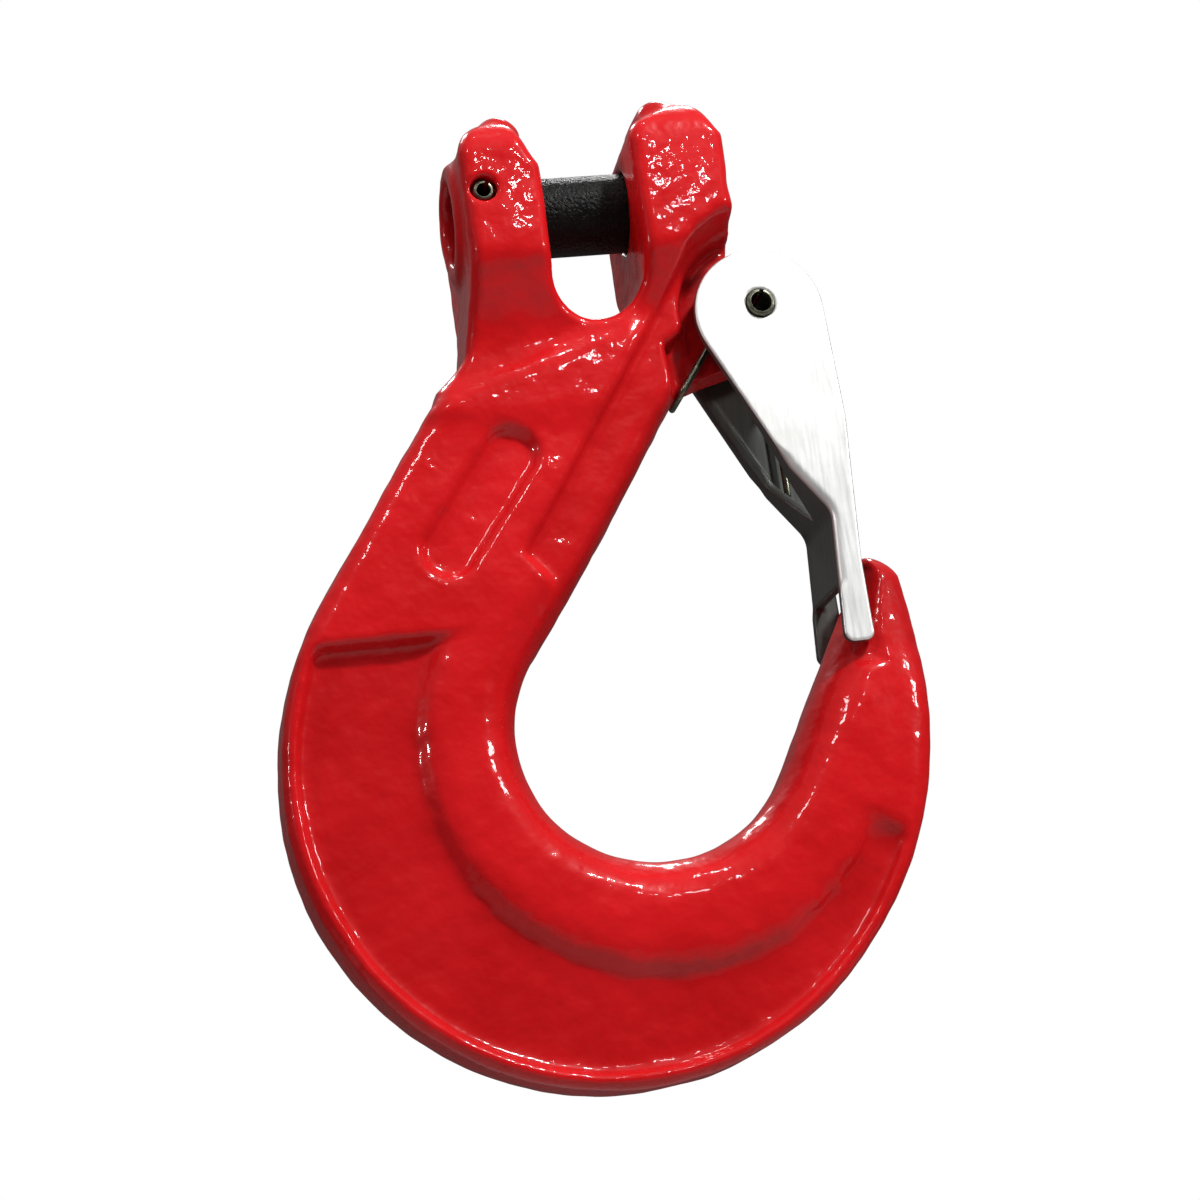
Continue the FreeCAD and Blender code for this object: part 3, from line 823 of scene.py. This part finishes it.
def spring_route():
    """The wire of the latch spring: foot, coil, leg, crossbar, and the same again on the other side."""
    pivot = np.array(PIVOT)

    def leaving(target, turn):
        reach = np.array(target) - pivot
        bearing = math.degrees(math.atan2(reach[1], reach[0]))
        return bearing + turn * math.degrees(math.acos(COIL_RADIUS / np.linalg.norm(reach)))

    leg_angle = leaving(CROSSBAR, -1)
    foot_angle = leaving(SPRING_FOOT, 1)
    turns = 1 + (leg_angle - foot_angle) % 360 / 360
    outer_y = COIL_INNER_Y + COIL_PITCH * turns
    half = []
    arrive = pivot + direction(foot_angle) * COIL_RADIUS
    for share in np.linspace(0, 1, 12, endpoint=False):
        place = np.array(SPRING_FOOT) + share * (arrive - np.array(SPRING_FOOT))
        half.append((place[0], outer_y, place[1]))
    for share in np.linspace(0, 1, 110, endpoint=False):
        place = pivot + direction(leg_angle - 360 * turns * (1 - share)) * COIL_RADIUS
        half.append((place[0], outer_y + (COIL_INNER_Y - outer_y) * share, place[1]))
    leave = pivot + direction(leg_angle) * COIL_RADIUS
    run = np.array(CROSSBAR) - leave
    straight = 1 - CROSSBAR_BEND / np.linalg.norm(run)
    for share in np.linspace(0, straight, 14, endpoint=False):
        place = leave + share * run
        half.append((place[0], COIL_INNER_Y, place[1]))
    for angle in np.linspace(0, 90, 8):
        back = CROSSBAR_BEND * (1 - math.sin(math.radians(angle)))
        place = np.array(CROSSBAR) - run / np.linalg.norm(run) * back
        inward = CROSSBAR_BEND * (1 - math.cos(math.radians(angle)))
        half.append((place[0], COIL_INNER_Y - inward, place[1]))
    other = [(x, -y, z) for x, y, z in reversed(half)]
    return half + other


# ---------------------------------------------------------------- materials

def new_material(name):
    """A node material, its shader and a maker of linked nodes."""
    material = bpy.data.materials.new(name)
    material.use_nodes = True
    nodes, links = material.node_tree.nodes, material.node_tree.links
    shader = nodes["Principled BSDF"]

    def make(kind, inputs=(), **settings):
        node = nodes.new(kind)
        for key, setting in settings.items():
            setattr(node, key, setting)
        for socket, source in dict(inputs).items():
            place = [put for put in node.inputs if put.enabled and put.name == socket]
            place = place[0] if place else node.inputs[socket]
            if isinstance(source, bpy.types.NodeSocket):
                links.new(source, place)
            else:
                place.default_value = source
        return node

    return material, shader, links, make


def noise(make, place, scale, detail=2.0, roughness=0.5):
    """Noise of about 1/scale metres across."""
    node = make(
        "ShaderNodeTexNoise",
        {"Vector": place, "Scale": scale, "Detail": detail, "Roughness": roughness},
    )
    return node.outputs["Fac"]


def ramp(make, source, positions, tones):
    """A colour ramp from one tone at its position to the other at the next."""
    node = make("ShaderNodeValToRGB", {"Fac": source})
    for element, position, colour in zip(node.color_ramp.elements, positions, tones):
        element.position = position
        element.color = (*colour, 1.0)
    return node.outputs["Color"]


def grey_ramp(make, source, low, high, dark, light):
    """A smooth change from one grey to another."""
    node = make(
        "ShaderNodeMapRange",
        {"Value": source, "From Min": low, "From Max": high, "To Min": dark, "To Max": light},
    )
    return node.outputs["Result"]


def red_paint():
    """Thick glossy enamel over forging scale, with painted shade on the sunk floors and on the faces near
    the mid-plane.
    """
    material, shader, links, make = new_material("red_paint")
    place = make("ShaderNodeTexCoord").outputs["Object"]
    clouds = noise(make, place, 60.0, 4.0)
    tone = ramp(make, clouds, (0.3, 0.7), PAINT_TONES)
    # Painted shade: the colour is darkened where |y| is small, on the sunk floors, the lug, the side walls
    # and inside the holes
    across = make("ShaderNodeSeparateXYZ", {"Vector": place}).outputs["Y"]
    depth = make("ShaderNodeMath", {0: across}, operation="ABSOLUTE").outputs["Value"]
    low, high = FLOOR_HALF_DEPTH * MM, (FLOOR_HALF_DEPTH + 2.2) * MM
    shade = grey_ramp(make, depth, low, high, RECESS_PAINTED_SHADE, 1.0)
    shaded = make("ShaderNodeVectorMath", {0: tone, "Scale": shade}, operation="SCALE").outputs["Vector"]
    links.new(shaded, shader.inputs["Base Color"])
    patches = noise(make, place, 350.0, 3.0)
    links.new(grey_ramp(make, patches, 0.35, 0.7, 0.26, 0.40), shader.inputs["Roughness"])
    peel = noise(make, place, 900.0, 2.0, 0.45)
    lumps = noise(make, place, 380.0, 1.0)
    broad = make("ShaderNodeBump", {"Height": lumps, "Strength": 0.6, "Distance": 0.00026})
    fine = make(
        "ShaderNodeBump",
        {"Height": peel, "Strength": 0.6, "Distance": 0.00006, "Normal": broad.outputs["Normal"]},
    )
    links.new(fine.outputs["Normal"], shader.inputs["Normal"])
    links.new(fine.outputs["Normal"], shader.inputs["Coat Normal"])
    shader.inputs["Coat Weight"].default_value = 0.5
    shader.inputs["Coat Roughness"].default_value = 0.05
    shader.inputs["Specular IOR Level"].default_value = 0.08
    return material


def black_oxide():
    """Blackened steel with a fine sandy grain."""
    material, shader, links, make = new_material("black_oxide")
    place = make("ShaderNodeTexCoord").outputs["Object"]
    grain = noise(make, place, 1500.0, 2.0, 0.6)
    clouds = noise(make, place, 160.0, 3.0)
    tone = ramp(make, clouds, (0.3, 0.75), OXIDE_TONES)
    links.new(tone, shader.inputs["Base Color"])
    links.new(grey_ramp(make, grain, 0.35, 0.7, 0.26, 0.42), shader.inputs["Roughness"])
    bump = make("ShaderNodeBump", {"Height": grain, "Strength": 1.0, "Distance": 0.00040})
    links.new(bump.outputs["Normal"], shader.inputs["Normal"])
    shader.inputs["Specular IOR Level"].default_value = 0.14
    return material


def zinc_sheet():
    """Bright zinc plate, slightly mottled, with a rolled grain along the sheet, and painted shade that
    turns the inner faces, the web and the cut edges dark grey.
    """
    material, shader, links, make = new_material("zinc_sheet")
    place = make("ShaderNodeTexCoord").outputs["Object"]
    stretched = make("ShaderNodeMapping", {"Vector": place, "Scale": (1.0, 1.0, 0.08)}).outputs["Vector"]
    mottle = noise(make, place, 120.0, 4.0, 0.6)
    rolled = noise(make, stretched, 1500.0, 2.0)
    tone = ramp(make, mottle, (0.3, 0.7), ZINC_TONES)
    # Painted shade: faces that look away from the mid-plane keep the bright zinc tone; inner faces, the
    # web and the edges get a dark grey
    depth = make("ShaderNodeSeparateXYZ", {"Vector": place}).outputs["Y"]
    facing = make("ShaderNodeSeparateXYZ", {"Vector": make("ShaderNodeNewGeometry").outputs["Normal"]})
    side = make("ShaderNodeMath", {0: depth}, operation="SIGN").outputs["Value"]
    outward = make("ShaderNodeMath", {0: facing.outputs["Y"], 1: side}, operation="MULTIPLY")
    unshaded_share = grey_ramp(make, outward.outputs["Value"], 0.25, 0.75, 0.0, 1.0)
    zinc_with_painted_shade = make("ShaderNodeMix", {"Factor": unshaded_share, "A": INNER_FACE_PAINTED_SHADE, "B": tone}, data_type="RGBA")
    links.new(zinc_with_painted_shade.outputs["Result"], shader.inputs["Base Color"])
    links.new(grey_ramp(make, rolled, 0.3, 0.7, 0.36, 0.50), shader.inputs["Roughness"])
    bump = make("ShaderNodeBump", {"Height": rolled, "Strength": 0.25, "Distance": 0.00004})
    links.new(bump.outputs["Normal"], shader.inputs["Normal"])
    shader.inputs["Metallic"].default_value = 0.6
    return material


def spring_steel():
    """Oiled grey spring steel."""
    material, shader, links, make = new_material("spring_steel")
    place = make("ShaderNodeTexCoord").outputs["Object"]
    clouds = noise(make, place, 500.0, 3.0)
    tone = ramp(make, clouds, (0.3, 0.7), STEEL_TONES)
    links.new(tone, shader.inputs["Base Color"])
    grain = noise(make, place, 3000.0, 2.0)
    links.new(grey_ramp(make, grain, 0.3, 0.7, 0.24, 0.42), shader.inputs["Roughness"])
    bump = make("ShaderNodeBump", {"Height": grain, "Strength": 0.3, "Distance": 0.00003})
    links.new(bump.outputs["Normal"], shader.inputs["Normal"])
    shader.inputs["Metallic"].default_value = 0.95
    return material


# ---------------------------------------------------------------- assembly

def dress(piece, material, slot_name, body, *nodes):
    """Paint a piece, ride it on its body and hide its CAD nodes."""
    piece.data.materials.append(material)
    if body:
        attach(piece, body)
    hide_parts(*nodes)
    return piece


def box_of(node, margin):
    """A CAD node's corners in millimetres, a margin larger each way."""
    low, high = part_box(node)
    return [v / MM - margin for v in low], [v / MM + margin for v in high]


def build_object():
    """Every piece of the hook."""
    steel = spring_steel()
    low, high = box_of("hook_body", 2.5)
    body = solid_object("forged_hook", forging, rough_forging, low, high, FORGING_PITCH)
    dress(body, red_paint(), "red_paint", "hook", "hook_body")
    low, high = box_of("latch", 1.5)
    plate = solid_object("folded_latch", latch, latch, low, high, LATCH_PITCH)
    dress(plate, zinc_sheet(), "zinc_sheet", "latch", "latch")
    dress(load_pin(), black_oxide(), "black_oxide", "hook", "load_pin")
    keeper = spring_pin(
        "retaining_spring_pin", (RETAINING_PIN_X, 0.0), RETAINING_PIN_RADIUS - RETAINING_PIN_GAP,
        RETAINING_PIN_HALF_LENGTH, 60,
    )
    dress(keeper, steel, "spring_steel", "hook", "load_pin_retaining_pin")
    pivot = spring_pin("pivot_spring_pin", PIVOT, PIVOT_PIN_RADIUS, PIVOT_PIN_HALF_LENGTH, 80)
    dress(pivot, steel, "spring_steel", "hook", "latch_pivot_pin")
    wire = swept_wire("latch_spring_wire", spring_route(), WIRE_RADIUS)
    dress(wire, steel, "spring_steel", None, "latch_spring")
    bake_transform(wire)


def area_light(name, place, size, power):
    """A small square lamp aimed at the hook."""
    lamp = bpy.data.lights.new(name, "AREA")
    lamp.shape = "RECTANGLE"
    lamp.size, lamp.size_y = size, size
    lamp.energy = power
    holder = bpy.data.objects.new(name, lamp)
    bpy.context.scene.collection.objects.link(holder)
    holder.location = place
    holder.rotation_euler = (Vector(LAMP_AIM) - Vector(place)).to_track_quat("-Z", "Y").to_euler()


def build_stage():
    """A pale floor, a white surrounding and the lamps."""
    bpy.ops.mesh.primitive_circle_add(
        vertices=128, radius=FLOOR_RADIUS, fill_type="NGON", location=(0, 0, FLOOR_Z)
    )
    floor = bpy.context.object
    floor.name = "studio_floor"
    material, shader, links, make = new_material("studio_floor")
    shader.inputs["Base Color"].default_value = FLOOR_COLOUR
    shader.inputs["Roughness"].default_value = 0.8
    floor.data.materials.append(material)
    world = bpy.data.worlds.new("studio")
    bpy.context.scene.world = world
    world.use_nodes = True
    nodes, links = world.node_tree.nodes, world.node_tree.links
    seen = nodes["Background"]
    seen.inputs["Color"].default_value = (1, 1, 1, 1)
    seen.inputs["Strength"].default_value = 1.0
    around = nodes.new("ShaderNodeBackground")
    facing = nodes.new("ShaderNodeTexCoord").outputs["Generated"]
    split = nodes.new("ShaderNodeSeparateXYZ")
    links.new(facing, split.inputs["Vector"])
    rise = nodes.new("ShaderNodeMapRange")
    for socket, number in WORLD_STRENGTH.items():
        rise.inputs[socket].default_value = number
    links.new(split.outputs["Z"], rise.inputs["Value"])
    links.new(rise.outputs["Result"], around.inputs["Strength"])
    rays = nodes.new("ShaderNodeLightPath")
    mix = nodes.new("ShaderNodeMixShader")
    links.new(rays.outputs["Is Camera Ray"], mix.inputs["Fac"])
    links.new(around.outputs["Background"], mix.inputs[1])
    links.new(seen.outputs["Background"], mix.inputs[2])
    links.new(mix.outputs["Shader"], nodes["World Output"].inputs["Surface"])
    for name, place, size, power in LAMPS:
        area_light(name, place, size, power)


def build_camera():
    """The camera: a little left of the hook and below it, looking up at it."""
    camera = bpy.data.objects.new("camera", bpy.data.cameras.new("camera"))
    bpy.context.scene.collection.objects.link(camera)
    turn = Matrix((CAMERA_RIGHT, CAMERA_UP, CAMERA_BACK)).transposed()
    camera.matrix_world = Matrix.Translation(CAMERA_PLACE) @ turn.to_4x4()
    camera.data.sensor_width = 36.0
    camera.data.lens = CAMERA_LENS
    camera.data.clip_start = 0.01
    bpy.context.scene.camera = camera


def main():
    """Build everything."""
    build_camera()
    build_object()
    build_stage()
    bpy.context.scene.view_settings.view_transform = "Standard"


main()
